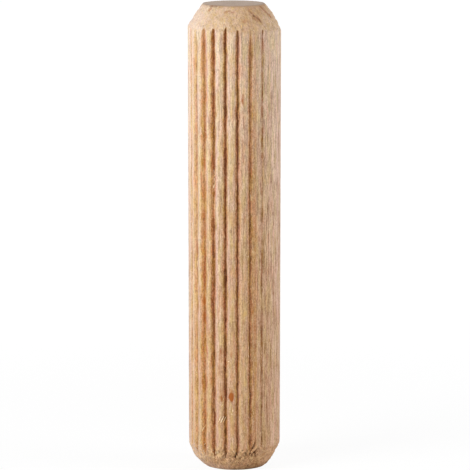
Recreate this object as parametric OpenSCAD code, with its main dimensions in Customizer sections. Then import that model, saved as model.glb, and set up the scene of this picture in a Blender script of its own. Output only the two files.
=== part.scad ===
// Fluted dowel pin: a round hardwood pin with bevelled ends. A pair of toothed rollers has
// pressed glue flutes along its two opposite sides, and left two smooth strips between them.
//
// The pin stands on one end, with the origin at the middle of that end and +Z along the pin.
// Its front faces -Y. Angles about the pin are measured from the front towards the right, +X.

/* [Pin] */
// Diameter over the crests between the flutes
pin_d = 8; // [6:0.5:12]
// Length from end to end
pin_l = 40; // [20:1:80]

/* [Bevelled ends] */
// Height of each bevel, along the pin
bevel_h = 2.1; // [1:0.1:3]
// Width of each bevel, in from the side of the pin
bevel_w = 1.35; // [0.6:0.05:2]
// How far the upper bevel swells out from a straight cone
top_crown = 0.1; // [0.02:0.01:0.25]
// How far the lower bevel, worn rounder, swells out from a straight cone
foot_crown = 0.2; // [0.02:0.01:0.25]

/* [Flutes] */
// Depth of the deepest flute on each pressed side
flute_depth = 0.3; // [0.14:0.02:0.4]
// Angle of a flute's wall from the middle plane of the flute
wall_angle = 24; // [15:1:32]
// Width of the flat at the bottom of the deepest flute
root_w = 0.05; // [0.02:0.01:0.1]
// Radius of the rolled shoulders of the deepest flute
shoulder_r = 0.26; // [0.1:0.02:0.34]
// Angle between the flutes in the middle of a pressed side
flute_pitch = 14.8; // [13:0.2:18]
// Growth of that angle from each flute to the next
pitch_growth = 0.6; // [0:0.1:0.8]

/* [Fluting rollers] */
// Direction from which the first roller presses; the second presses from opposite
press_angle = -27; // [-45:1:45]
// How much larger the radius through the roller's tooth tips is than the pin's own
tip_ease = 0.2; // [0.1:0.02:0.4]

/* [Hidden] */

pin_r = pin_d / 2;

// The tooth tips lie on a circle that is centred beyond the pin's axis from the roller
tip_r = pin_r + tip_ease;
tip_shift = tip_ease + flute_depth;

// A tooth that would mark the pin less deeply than this leaves no flute
least_depth = 0.03;
// Angle at which a rolled shoulder meets the crest and the wall
meet_angle = 12;
// How far a cutting outline runs past the wood
overcut = 1;
// How far a bevel's cutting outline runs past the ends of the bevel, inside its arc
bevel_lap = 0.2;

// The pitch grows steadily, so the flute's angle is a quadratic in its number
function flute_angle(i) = flute_pitch * i + pitch_growth * i * i / 2;

// Depth that a tooth reaches at an angle from the direction of the press
function depth_at(angle) =
    pin_r + tip_shift * cos(angle) - sqrt(pow(tip_r, 2) - pow(tip_shift * sin(angle), 2));

function flip(p) = [-p.x, p.y];

// What is turned away to leave a bevel, drawn for an end face at y = 0 and wood below it
module bevel_waste(crown) {
    chord = norm([bevel_w, bevel_h]);
    arc_r = (pow(chord / 2, 2) + pow(crown, 2)) / (2 * crown);
    middle = [pin_r - bevel_w / 2, -bevel_h / 2];
    centre = middle - [bevel_h, bevel_w] * (arc_r - crown) / chord;
    difference() {
        translate([pin_r - bevel_w - bevel_lap, -bevel_h - bevel_lap])
            square([bevel_w + bevel_lap + overcut, bevel_h + bevel_lap + overcut]);
        translate(centre)
            circle(arc_r, $fn = 256);
    }
}

// The smooth turned pin, before its flutes are pressed
module turned_pin() {
    rotate_extrude($fn = 144)
        difference() {
            square([pin_r, pin_l]);
            translate([0, pin_l])
                bevel_waste(top_crown);
            mirror([0, 1])
                bevel_waste(foot_crown);
        }
}

// Section of a flute at the pin's front, a shallow flute being a smaller copy of the deepest
module flute_section(depth) {
    share = depth / flute_depth;
    round_r = shoulder_r * share;
    root = [root_w / 2 * share, pin_r - depth];
    wall = [sin(wall_angle), cos(wall_angle)];
    // The shoulder's centre lies where its circle meets the crest and the wall at meet_angle
    reach = sqrt(pow(pin_r, 2) + pow(round_r, 2) - 2 * pin_r * round_r * cos(meet_angle));
    stand_off = round_r * cos(meet_angle) + root.x * wall.y - root.y * wall.x;
    turn = wall_angle + asin(stand_off / reach);
    outwards = [sin(turn), cos(turn)];
    centre = reach * outwards;
    foot = root + wall * ((centre - root) * wall);
    rim = (pin_r + overcut) * outwards;
    mirror([0, 1])
        difference() {
            polygon([
                root, foot, centre, rim,
                flip(rim), flip(centre), flip(foot), flip(root)
            ]);
            for (p = [centre, flip(centre)])
                translate(p)
                    circle(round_r, $fn = 32);
        }
}

// The flutes that one roller presses, as straight cutters along the whole pin
module pressed_side() {
    last = ceil(90 / flute_pitch);
    for (i = [-last:last]) {
        angle = flute_angle(i);
        depth = depth_at(angle);
        if (depth > least_depth)
            rotate(angle)
                translate([0, 0, -overcut])
                    linear_extrude(pin_l + 2 * overcut)
                        flute_section(depth);
    }
}

module dowel_pin() {
    color("burlywood")
        difference() {
            turned_pin();
            for (side = [0, 180])
                rotate(press_angle + side)
                    pressed_side();
        }
}

dowel_pin();
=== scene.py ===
"""Fluted beech dowel pin, standing on one end on a pale studio floor.

The pin is one piece of wood. Its solid gives the place and the size; the surface built here
stands for it and adds what the wood itself has: ragged flute edges, torn grain on the bevels,
nicks, pores, rays and a few loose fibres. Lengths inside the classes are in millimetres, and
each finished mesh is scaled to metres. Angles about the pin are in degrees from its front, -Y,
towards its right, +X.
"""

import logging
import math
from dataclasses import dataclass, field
from enum import Enum
from typing import ClassVar, Sequence

import bmesh
import bpy
import numpy as np
from mathutils import Color, Matrix, Vector


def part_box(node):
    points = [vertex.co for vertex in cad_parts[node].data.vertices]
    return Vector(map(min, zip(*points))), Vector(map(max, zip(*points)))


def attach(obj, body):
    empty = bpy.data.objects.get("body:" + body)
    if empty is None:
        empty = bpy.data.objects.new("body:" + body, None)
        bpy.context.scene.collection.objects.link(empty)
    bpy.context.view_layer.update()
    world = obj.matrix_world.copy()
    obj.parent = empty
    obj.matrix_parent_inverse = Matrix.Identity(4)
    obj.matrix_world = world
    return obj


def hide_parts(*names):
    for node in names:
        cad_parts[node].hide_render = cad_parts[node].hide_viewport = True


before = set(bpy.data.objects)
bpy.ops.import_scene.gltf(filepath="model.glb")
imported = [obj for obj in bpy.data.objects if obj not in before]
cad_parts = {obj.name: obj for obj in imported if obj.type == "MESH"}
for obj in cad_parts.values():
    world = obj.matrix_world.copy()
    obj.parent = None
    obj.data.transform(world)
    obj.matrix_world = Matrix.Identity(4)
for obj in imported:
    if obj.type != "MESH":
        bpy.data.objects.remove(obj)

NODE = "dowel_pin"
BODY = "root"
MM = 0.001
TOUCHING = 1e-4

Paint = tuple[float, float, float, float]
WHITE: Paint = (1.0, 1.0, 1.0, 1.0)

log = logging.getLogger("dowel_pin")


class End(Enum):
    """One of the two ends of the pin, with the direction in which it faces."""

    FOOT = -1
    HEAD = 1


class Blend(Enum):
    """How one colour goes over another, with Blender's name for it."""

    COVER = "MIX"
    TINT = "MULTIPLY"


class Lane(Enum):
    """One unevenness along the flutes: its first noise lane, and the length of a blotch.

    Each flute has a lane of its own, or two for its two edges, from the first on.
    """

    SLOW_DRIFT = (0, 1.4)
    QUICK_DRIFT = (30, 0.5)
    EDGES = (60, 0.5)
    DEPTH = (110, 0.9)
    STAIN = (140, 0.9)
    DASHES = (170, 0.9)


# ---------------------------------------------------------------- shared helpers


def smooth_step(values: np.ndarray, low: float, high: float) -> np.ndarray:
    """Eases from 0 at low to 1 at high.

    Args:
        values: Numbers to ease.
        low: Where the result is 0.
        high: Where the result is 1; it may be less than low.

    Returns:
        The eased numbers, from 0 to 1.
    """
    t = np.clip((values - low) / (high - low), 0.0, 1.0)
    return t * t * (3.0 - 2.0 * t)


def turned_by(angles: np.ndarray, start: float) -> np.ndarray:
    """Gives the turn in degrees from a start to each angle, from -180 to 180."""
    return (angles - start + 180.0) % 360.0 - 180.0


@dataclass(frozen=True)
class Unevenness:
    """One kind of unevenness of wood.

    Attributes:
        grain: Size of a blotch of its coarsest layer along x, y and z.
        rise: About how far it rises and falls.
        layers: Number of layers, each half the size and strength of the last.
        shift: Where in the noise it is taken, so that two kinds don't match.
    """

    grain: tuple[float, float, float]
    rise: float = 1.0
    layers: int = 3
    shift: float = 0.0


@dataclass
class WoodNoise:
    """Seeded smooth noise in space, for irregularities of the wood's surface.

    Attributes:
        seed: Picks the pattern.
        cells: Lattice points along each axis before the pattern repeats.
        start: Where in the pattern the origin lies, off the planes of the lattice.
        layer_step: How far apart in space two layers are taken.
        lane_step: How far apart in space two lanes are taken, along x and y.
        lane_samples: Number of heights at which a lane is worked out.
        lattice: The random number at each lattice point.
    """

    seed: int
    cells: int = 48
    start: float = 7.31
    layer_step: float = 3.7
    lane_step: tuple[float, float] = (3.3, 1.7)
    lane_samples: int = 800
    lattice: np.ndarray = field(init=False, repr=False)

    def __post_init__(self) -> None:
        """Draws the random lattice."""
        draw = np.random.default_rng(self.seed)
        self.lattice = draw.uniform(-1.0, 1.0, self.cells**3)

    def at(self, points: np.ndarray, grain: np.ndarray) -> np.ndarray:
        """Samples the noise once.

        Args:
            points: Places, one row of x, y, z each.
            grain: Size of a blotch along x, y and z.

        Returns:
            One number from -1 to 1 for each place.
        """
        scaled = points / grain + self.start
        whole = np.floor(scaled).astype(int)
        part = smooth_step(scaled - whole, 0.0, 1.0)
        strides = np.array((self.cells**2, self.cells, 1))
        low, high = whole % self.cells * strides, (whole + 1) % self.cells * strides
        total = np.zeros(len(points))
        for corner in np.ndindex(2, 2, 2):
            index = sum((high if c else low)[:, axis] for axis, c in enumerate(corner))
            shares = [part[:, axis] if c else 1.0 - part[:, axis] for axis, c in enumerate(corner)]
            total += shares[0] * shares[1] * shares[2] * self.lattice[index]
        return total

    def layered(self, points: np.ndarray, kind: Unevenness) -> np.ndarray:
        """Adds up the layers of one kind of unevenness.

        Args:
            points: Places, one row of x, y, z each.
            kind: The kind of unevenness.

        Returns:
            One number for each place, mostly within the kind's rise.
        """
        total = np.zeros(len(points))
        for layer in range(kind.layers):
            shrink = 0.5**layer
            places = points + kind.shift + self.layer_step * layer
            total += shrink * self.at(places, np.asarray(kind.grain) * shrink)
        return total * kind.rise

    def along(self, heights: np.ndarray, lane: Lane, number: int) -> np.ndarray:
        """Samples the noise along one of the lanes of an unevenness.

        Args:
            heights: Heights at which it is wanted.
            lane: The unevenness.
            number: Number of the lane, from its first one.

        Returns:
            One number for each height, mostly between -1 and 1.
        """
        first, grain = lane.value
        steps = np.linspace(heights.min(), heights.max(), self.lane_samples)
        aside = np.tile(np.multiply(self.lane_step, first + number), (self.lane_samples, 1))
        sampled = self.layered(np.column_stack((aside, steps)), Unevenness((1.0, 1.0, grain)))
        return np.interp(heights, steps, sampled)


def upwards(place: Vector) -> float:
    """Ranks places upwards, outwards and around, so that a mesh has one order each run."""
    return (place.z * 1000.0 + place.xy.length) * 1000.0 + math.atan2(place.y, place.x)


def mesh_object(
    name: str, shape: bmesh.types.BMesh, painted: dict[str, np.ndarray] | None = None
) -> bpy.types.Object:
    """Makes an object at the origin from a finished shape in millimetres.

    Args:
        name: Name of the object and of its mesh.
        shape: The finished shape, which is freed.
        painted: Numbers for each vertex, by the name of the attribute that holds them.

    Returns:
        The new object, in metres.
    """
    bmesh.ops.scale(shape, vec=Vector((MM, MM, MM)), verts=shape.verts)
    mesh = bpy.data.meshes.new(name)
    shape.to_mesh(mesh)
    shape.free()
    for polygon in mesh.polygons:
        polygon.use_smooth = True
    for layer, values in (painted or {}).items():
        mesh.attributes.new(layer, "FLOAT", "POINT").data.foreach_set("value", values)
    made = bpy.data.objects.new(name, mesh)
    bpy.context.scene.collection.objects.link(made)
    return made


# ---------------------------------------------------------------- shader maths


class Field:
    """A number that varies over a surface, written in Python expressions.

    Each operation on a field adds the Math node that works it out.
    """

    def __init__(self, sketch: "Sketch", socket: bpy.types.NodeSocket) -> None:
        """Wraps an output socket of a sketch."""
        self.sketch = sketch
        self.socket = socket

    def _maths(self, operation: str, *values: "Field | float") -> "Field":
        """Adds a Math node of one operation on the given values."""
        return self.sketch.field("ShaderNodeMath", {"operation": operation}, list(values))

    def __add__(self, other: "Field | float") -> "Field":
        """Adds a field or a number."""
        return self._maths("ADD", self, other)

    __radd__ = __add__

    def __sub__(self, other: "Field | float") -> "Field":
        """Takes a field or a number away."""
        return self._maths("SUBTRACT", self, other)

    def __rsub__(self, other: float) -> "Field":
        """Takes this field away from a number."""
        return self._maths("SUBTRACT", other, self)

    def __mul__(self, other: "Field | float") -> "Field":
        """Multiplies by a field or a number."""
        return self._maths("MULTIPLY", self, other)

    __rmul__ = __mul__

    def __truediv__(self, other: "Field | float") -> "Field":
        """Divides by a field or a number."""
        return self._maths("DIVIDE", self, other)

    def __rtruediv__(self, other: float) -> "Field":
        """Divides a number by this field."""
        return self._maths("DIVIDE", other, self)

    def fraction(self) -> "Field":
        """Gives what is left above the next lower whole number."""
        return self._maths("FRACT", self)

    def size(self) -> "Field":
        """Gives the size without the sign."""
        return self._maths("ABSOLUTE", self)

    def step(self, low: float, high: float) -> "Field":
        """Eases from 0 at low to 1 at high, which may be the lower of the two.

        Args:
            low: Value of this field where the result is 0.
            high: Value of this field where the result is 1.

        Returns:
            The eased field, from 0 to 1.
        """
        rising = low < high
        inputs = {
            "Value": self,
            "From Min": min(low, high),
            "From Max": max(low, high),
            "To Min": 0.0 if rising else 1.0,
            "To Max": 1.0 if rising else 0.0,
        }
        return self.sketch.field("ShaderNodeMapRange", {"interpolation_type": "SMOOTHSTEP"}, inputs)

    def band(self, start: float, full: float, fading: float, end: float) -> "Field":
        """Eases from 0 to 1 and, farther on, back to 0.

        Args:
            start: Value of this field where the band starts.
            full: Value at which it has reached 1.
            fading: Value at which it starts to fade.
            end: Value at which it ends.

        Returns:
            The band, from 0 to 1.
        """
        return self.step(start, full) * self.step(end, fading)


class Sketch:
    """The nodes of one material or of the surroundings, all made by one method."""

    def __init__(self, owner: "bpy.types.Material | bpy.types.World") -> None:
        """Empties the node tree of a material or a world.

        Args:
            owner: The material or the world.
        """
        self.owner = owner
        owner.use_nodes = True
        self.tree = owner.node_tree
        self.tree.nodes.clear()

    def node(
        self,
        kind: str,
        settings: dict[str, object] | None = None,
        inputs: "dict[str, object] | list[object] | None" = None,
    ) -> bpy.types.Node:
        """Makes a node, sets it up, then fills or links its sockets.

        Args:
            kind: Blender's type name of the node.
            settings: The node's own settings.
            inputs: Values, fields or sockets for its inputs, by name or in order.

        Returns:
            The new node.
        """
        made = self.tree.nodes.new(kind)
        for name, value in (settings or {}).items():
            setattr(made, name, value)
        pairs = enumerate(inputs) if isinstance(inputs, list) else (inputs or {}).items()
        for key, value in pairs:
            source = value.socket if isinstance(value, Field) else value
            if isinstance(source, bpy.types.NodeSocket):
                self.tree.links.new(source, made.inputs[key])
            else:
                made.inputs[key].default_value = source
        return made

    def field(
        self,
        kind: str,
        settings: dict[str, object] | None = None,
        inputs: "dict[str, object] | list[object] | None" = None,
        output: int | str = 0,
    ) -> Field:
        """Makes a node and wraps one of its outputs.

        Args:
            kind: Blender's type name of the node.
            settings: The node's own settings.
            inputs: Values, fields or sockets for its inputs.
            output: Which output to wrap.

        Returns:
            The wrapped output.
        """
        return Field(self, self.node(kind, settings, inputs).outputs[output])

    def scaled(self, vector: bpy.types.NodeSocket, scale: Sequence[float]) -> bpy.types.NodeSocket:
        """Stretches a vector by factors along x, y and z."""
        settings = {"operation": "MULTIPLY"}
        return self.node("ShaderNodeVectorMath", settings, [vector, tuple(scale)]).outputs[0]

    def turned(self, vector: bpy.types.NodeSocket, turn: Sequence[float]) -> bpy.types.NodeSocket:
        """Turns a vector by degrees about x, y and z."""
        inputs = {"Vector": vector, "Rotation": tuple(map(math.radians, turn))}
        return self.node("ShaderNodeMapping", {"vector_type": "POINT"}, inputs).outputs[0]

    def place(self) -> bpy.types.NodeSocket:
        """Gives the place on the object, in millimetres."""
        return self.scaled(self.node("ShaderNodeTexCoord").outputs["Object"], (1 / MM,) * 3)

    def axes(self, vector: bpy.types.NodeSocket) -> list[Field]:
        """Splits a vector into its x, y and z."""
        split = self.node("ShaderNodeSeparateXYZ", None, [vector])
        return [Field(self, socket) for socket in split.outputs]

    def painted(self, layer: str) -> Field:
        """Reads an attribute painted on the mesh's vertices."""
        return self.field("ShaderNodeAttribute", {"attribute_name": layer}, None, "Fac")

    def noise(
        self,
        vector: bpy.types.NodeSocket,
        grain: Sequence[float],
        detail: float = 2.0,
        roughness: float = 0.55,
    ) -> Field:
        """Adds a noise texture.

        Args:
            vector: Place on the object, in millimetres.
            grain: Size of a blotch along x, y and z, in millimetres.
            detail: Number of finer layers.
            roughness: Strength of the finer layers.

        Returns:
            The noise, from 0 to 1 and mostly near 0.5.
        """
        place = self.scaled(vector, [1.0 / size for size in grain])
        inputs = {"Vector": place, "Scale": 1.0, "Detail": detail, "Roughness": roughness}
        return self.field("ShaderNodeTexNoise", {"noise_dimensions": "3D"}, inputs)

    def mix(
        self, first: object, second: object, share: "Field | float", blend: Blend = Blend.COVER
    ) -> bpy.types.NodeSocket:
        """Mixes two colours.

        Args:
            first: Colour, or socket of a colour, where share is 0.
            second: Colour, or socket of a colour, where share is 1.
            share: How much of the second shows.
            blend: How the second goes over the first.

        Returns:
            The mixed colour's socket.
        """
        settings = {"data_type": "RGBA", "blend_type": blend.value, "clamp_factor": True}
        made = self.node("ShaderNodeMix", settings, {0: share, 6: first, 7: second})
        return made.outputs[2]

    def coats(self, first: object, *coats: tuple[object, ...]) -> bpy.types.NodeSocket:
        """Lays thin coats of colour over a first colour.

        Args:
            first: The first colour, or its socket.
            coats: For each coat its colour or socket, how much of it shows, and how it goes
                over the last where it doesn't cover it.

        Returns:
            The last colour's socket.
        """
        for coat in coats:
            first = self.mix(first, *coat)
        return first

    def surface(
        self, base: bpy.types.NodeSocket, roughness: float, finer: dict[str, object] | None = None
    ) -> bpy.types.Material:
        """Finishes a material with a Principled shader.

        Args:
            base: Socket of its base colour.
            roughness: Its roughness.
            finer: Its other inputs, by Blender's names.

        Returns:
            The material.
        """
        values = {"Base Color": base, "Roughness": roughness, **(finer or {})}
        return self.finish(self.node("ShaderNodeBsdfPrincipled", None, values).outputs[0])

    def seen(self) -> Field:
        """Gives 1 for what the camera sees directly, and 0 for the rest."""
        return self.field("ShaderNodeLightPath", None, None, "Is Camera Ray")

    def blend(
        self, share: Field, first: bpy.types.Node, second: bpy.types.Node
    ) -> bpy.types.NodeSocket:
        """Mixes the shaders of two nodes.

        Args:
            share: How much of the second shows.
            first: Node of the first shader.
            second: Node of the second shader.

        Returns:
            The mixed shader's socket.
        """
        inputs = [share, first.outputs[0], second.outputs[0]]
        return self.node("ShaderNodeMixShader", None, inputs).outputs[0]

    def finish(self, shader: bpy.types.NodeSocket) -> "bpy.types.Material | bpy.types.World":
        """Links a shader to the output.

        Args:
            shader: The shader's socket.

        Returns:
            The finished material or world.
        """
        kind = "World" if isinstance(self.owner, bpy.types.World) else "Material"
        self.node(f"ShaderNodeOutput{kind}", None, {"Surface": shader})
        return self.owner


def colour(red: int, green: int, blue: int) -> Paint:
    """Turns a colour as seen on a screen, 0 to 255, into Blender's linear light."""
    seen = Color((red / 255, green / 255, blue / 255))
    return (*seen.from_srgb_to_scene_linear(), 1.0)


# ---------------------------------------------------------------- the pin's shape


@dataclass(frozen=True)
class Flute:
    """One glue flute pressed along the pin.

    Attributes:
        tooth: Number of the roller's tooth that pressed it, from the middle one.
        angle: Where it lies about the pin.
        depth: How deep its bottom lies under the crests.
    """

    tooth: int
    angle: float
    depth: float


@dataclass(frozen=True)
class ToothWear:
    """How the flutes of one tooth of a worn roller differ from plain ones.

    Attributes:
        REACH: How far from a flute's middle the brown reaches, in half widths of the flute.
        turn: How far they stand aside, in degrees.
        width: Their width as a share of the plain width.
        least_half: Half the width of their mouth at the least.
        stain: How much the hot tooth has browned them, from 0 to 1.
        spread: Share of their mouth over which that brown is full.
        growth: How much browner they are at the foot than at the head.
        right: How much of their mouth's right half the brown reaches.
        broken: How far the brown is broken up into dashes, from 0 to 1.
        short: How far below the plain ones they end at the head.
    """

    REACH: ClassVar[float] = 1.15

    turn: float = 0.0
    width: float = 1.0
    least_half: float = 0.0
    stain: float = 1.0
    spread: float = 0.5
    growth: float = 0.0
    right: float = REACH
    broken: float = 0.0
    short: float = 0.0


@dataclass
class FlutingRollers:
    """The pair of toothed rollers that press the flutes, with the solid's own sizes.

    Attributes:
        pin_r: Radius of the pin over its crests.
        flute_depth: Depth of the deepest flute on each pressed side.
        wall_angle: Angle of a flute's wall from its middle plane.
        root_w: Width of the flat at the bottom of the deepest flute.
        shoulder_r: Radius of the rolled shoulders of the deepest flute.
        meet_angle: Angle at which a shoulder meets the crest and the wall.
        flute_pitch: Angle between the flutes in the middle of a pressed side.
        pitch_growth: Growth of that angle from each flute to the next.
        press_angle: Direction from which the first roller presses.
        tip_ease: How much larger the radius through the tooth tips is than the pin's own.
        least_depth: A tooth that would mark the pin less deeply leaves no flute.
    """

    pin_r: float
    flute_depth: float = 0.3
    wall_angle: float = 24.0
    root_w: float = 0.05
    shoulder_r: float = 0.26
    meet_angle: float = 12.0
    flute_pitch: float = 14.8
    pitch_growth: float = 0.6
    press_angle: float = -27.0
    tip_ease: float = 0.2
    least_depth: float = 0.03

    def depth_at(self, angle: float) -> float:
        """Gives how deep a tooth reaches.

        Args:
            angle: Angle of the tooth from the direction of the press.

        Returns:
            The depth, less than 0 where the tooth doesn't touch the pin.
        """
        shift = self.tip_ease + self.flute_depth
        turn = math.radians(angle)
        tips = math.sqrt((self.pin_r + self.tip_ease) ** 2 - (shift * math.sin(turn)) ** 2)
        return self.pin_r + shift * math.cos(turn) - tips

    def flutes(self) -> list[Flute]:
        """Lists the flutes of both pressed sides in the order of their angles.

        Returns:
            The flutes, with angles from -180 to 180 degrees.
        """
        last = math.ceil(90 / self.flute_pitch)
        found = []
        for number in range(-last, last + 1):
            angle = self.flute_pitch * number + self.pitch_growth * number * number / 2
            depth = self.depth_at(angle)
            if depth > self.least_depth:
                for side in (0.0, -180.0):
                    around = turned_by(angle + self.press_angle, side)
                    found.append(Flute(number, around, depth))
        return sorted(found, key=lambda flute: flute.angle)

    def shoulder_centre(self) -> tuple[float, float]:
        """Gives the centre of the arc of the deepest flute's shoulder.

        Returns:
            How far it lies beside the flute's middle plane, and how far from the pin's axis.
        """
        meet = math.radians(self.meet_angle)
        wall = math.radians(self.wall_angle)
        reach = math.sqrt(
            self.pin_r**2
            + self.shoulder_r**2
            - 2 * self.pin_r * self.shoulder_r * math.cos(meet)
        )
        stand_off = (
            self.shoulder_r * math.cos(meet)
            + self.root_w / 2 * math.cos(wall)
            - (self.pin_r - self.flute_depth) * math.sin(wall)
        )
        turn = wall + math.asin(stand_off / reach)
        return reach * math.sin(turn), reach * math.cos(turn)

    def mouth(self) -> float:
        """Gives half the width of the deepest flute's mouth."""
        centre_x, _ = self.shoulder_centre()
        return centre_x - self.shoulder_r * math.sin(math.radians(self.meet_angle))

    def section(self, across: np.ndarray) -> np.ndarray:
        """Gives how far the deepest flute's surface lies under the crests.

        Args:
            across: Distances from the flute's middle.

        Returns:
            The depths, 0 beyond the mouth.
        """
        out = np.abs(across)
        centre_x, centre_y = self.shoulder_centre()
        slope = math.tan(math.radians(self.wall_angle))
        wall = self.flute_depth - np.maximum(out - self.root_w / 2, 0.0) / slope
        half = np.sqrt(np.maximum(self.shoulder_r**2 - (out - centre_x) ** 2, 0.0))
        crest = np.sqrt(self.pin_r**2 - np.minimum(out, self.pin_r) ** 2)
        shoulder = np.where(out > centre_x, 0.0, crest - (centre_y + half))
        on_shoulder = out > centre_x - self.shoulder_r
        return np.maximum(np.where(on_shoulder, shoulder, wall), 0.0)


@dataclass(frozen=True)
class Scar:
    """A pit, cut or scratch, from one place on the pin to another.

    Attributes:
        angle: Where it starts about the pin.
        height: Height at which it starts.
        end_angle: Where it ends about the pin.
        end_height: Height at which it ends.
        half_width: Half its width.
        depth: How deep it is.
        bruise: How much the wood beside it is browned, from 0 to 1.
    """

    angle: float
    height: float
    end_angle: float
    end_height: float
    half_width: float
    depth: float
    bruise: float = 0.0


@dataclass(frozen=True)
class Patch:
    """An oval patch of the surface.

    Attributes:
        angle: Where its middle lies about the pin.
        height: Height of its middle.
        half_width: Half its width around the pin.
        half_height: Half its height.
        strength: How strongly it shows, from 0 to 1, or how far the wood there is rubbed down.
    """

    angle: float
    height: float
    half_width: float
    half_height: float
    strength: float = 1.0


@dataclass
class Skin:
    """The pin's surface as one number of each kind for every vertex.

    Attributes:
        PAINTED: Names of the numbers that are painted on the mesh.
        PATCH_EDGE: Where a patch's soft edge ends and where it is whole, as shares of its size.
        SCAR_EDGE: The same for a scar, as shares of half its width.
        LEAST_SQUARE: Keeps the square of a short scar's length from 0.
        angle: Angle about the pin.
        height: Height above the floor.
        radius: Distance from the pin's axis.
        stain: How much a roller's tooth has browned it, from 0 to 1.
        cut: How far it lies on a bevel, where the grain is cut across, from 0 to 1.
        scarred: How much painted shade darkens it in a scar or a torn pit, more the deeper it lies,
            from 0 to 1.
        amber: How much resin or a bruise colours it, from 0 to 1.
        lip: How near it lies to a flute, from 0 to 1 before it and from 0 to -1 past it.
        crest: How near it lies to the middle between two flutes, from 0 to 1.
    """

    PAINTED: ClassVar[tuple[str, ...]] = ("stain", "cut", "scarred", "amber", "lip", "crest")
    PATCH_EDGE: ClassVar[tuple[float, float]] = (1.25, 0.4)
    SCAR_EDGE: ClassVar[tuple[float, float]] = (1.0, 0.25)
    LEAST_SQUARE: ClassVar[float] = 1e-9

    angle: np.ndarray
    height: np.ndarray
    radius: np.ndarray
    stain: np.ndarray = field(init=False)
    cut: np.ndarray = field(init=False)
    scarred: np.ndarray = field(init=False)
    amber: np.ndarray = field(init=False)
    lip: np.ndarray = field(init=False)
    crest: np.ndarray = field(init=False)

    def __post_init__(self) -> None:
        """Starts with a clean turned surface."""
        for name in self.PAINTED:
            setattr(self, name, np.zeros_like(self.radius))

    def places(self) -> np.ndarray:
        """Gives the places of the vertices.

        Returns:
            One row of x, y, z for each vertex.
        """
        turn = np.radians(self.angle)
        across = self.radius * np.sin(turn)
        return np.column_stack((across, -self.radius * np.cos(turn), self.height))

    def arc_from(self, angle: float) -> np.ndarray:
        """Gives how far around the surface each vertex lies from an angle."""
        return np.radians(turned_by(self.angle, angle)) * self.radius

    def within(self, patch: Patch) -> np.ndarray:
        """Gives how strongly a patch shows at each vertex.

        Args:
            patch: The patch.

        Returns:
            Numbers from 0 outside its soft edge to the patch's strength.
        """
        arc, rise = self.arc_from(patch.angle), self.height - patch.height
        away = np.hypot(arc / patch.half_width, rise / patch.half_height)
        return smooth_step(away, *self.PATCH_EDGE) * patch.strength

    def inside(self, scar: Scar, wider: float = 1.0) -> np.ndarray:
        """Gives how far inside a scar each vertex lies.

        Args:
            scar: The scar.
            wider: How many times wider than it is the scar is taken to be.

        Returns:
            Numbers from 0 at its edge to 1.
        """
        arc, rise = self.arc_from(scar.angle), self.height - scar.height
        end_arc = np.radians(scar.end_angle - scar.angle) * self.radius
        end_rise = scar.end_height - scar.height
        square = np.maximum(end_arc**2 + end_rise**2, self.LEAST_SQUARE)
        share = np.clip((arc * end_arc + rise * end_rise) / square, 0.0, 1.0)
        away = np.hypot(arc - share * end_arc, rise - share * end_rise)
        return smooth_step(away / scar.half_width / wider, *self.SCAR_EDGE)


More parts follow.
